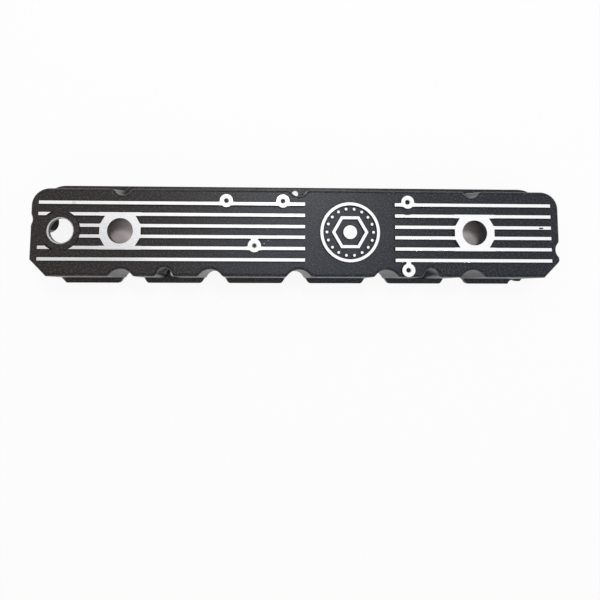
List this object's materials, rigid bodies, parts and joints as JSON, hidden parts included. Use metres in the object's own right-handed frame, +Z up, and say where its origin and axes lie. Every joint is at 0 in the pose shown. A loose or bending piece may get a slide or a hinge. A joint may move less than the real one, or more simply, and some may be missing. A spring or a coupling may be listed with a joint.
{
  "type": "engine valve cover",
  "caption": "Long cast-aluminium valve cover for an in-line six, finned on top, with a scalloped flange, breather holes and a filler hole.",
  "frame": {"origin": "on the gasket face, under the middle of the flange", "axes": "+X along the engine to the end away from the oil filler, +Y to the back edge with three cover bolts, +Z up out of the gasket face"},
  "size_m": [0.706, 0.1338, 0.082],
  "materials": {
    "casting": "black fine-textured powder coat on cast aluminium, machined bare on the fins, pads, emblem and tapped bosses",
    "sheet": "bare rolled sheet",
    "screws": "zinc-plated steel"
  },
  "bodies": {
    "root": {"valve_cover": "casting", "left_baffle": "sheet", "right_baffle": "sheet", "baffle_screws": "screws"}
  },
  "joints": []
}
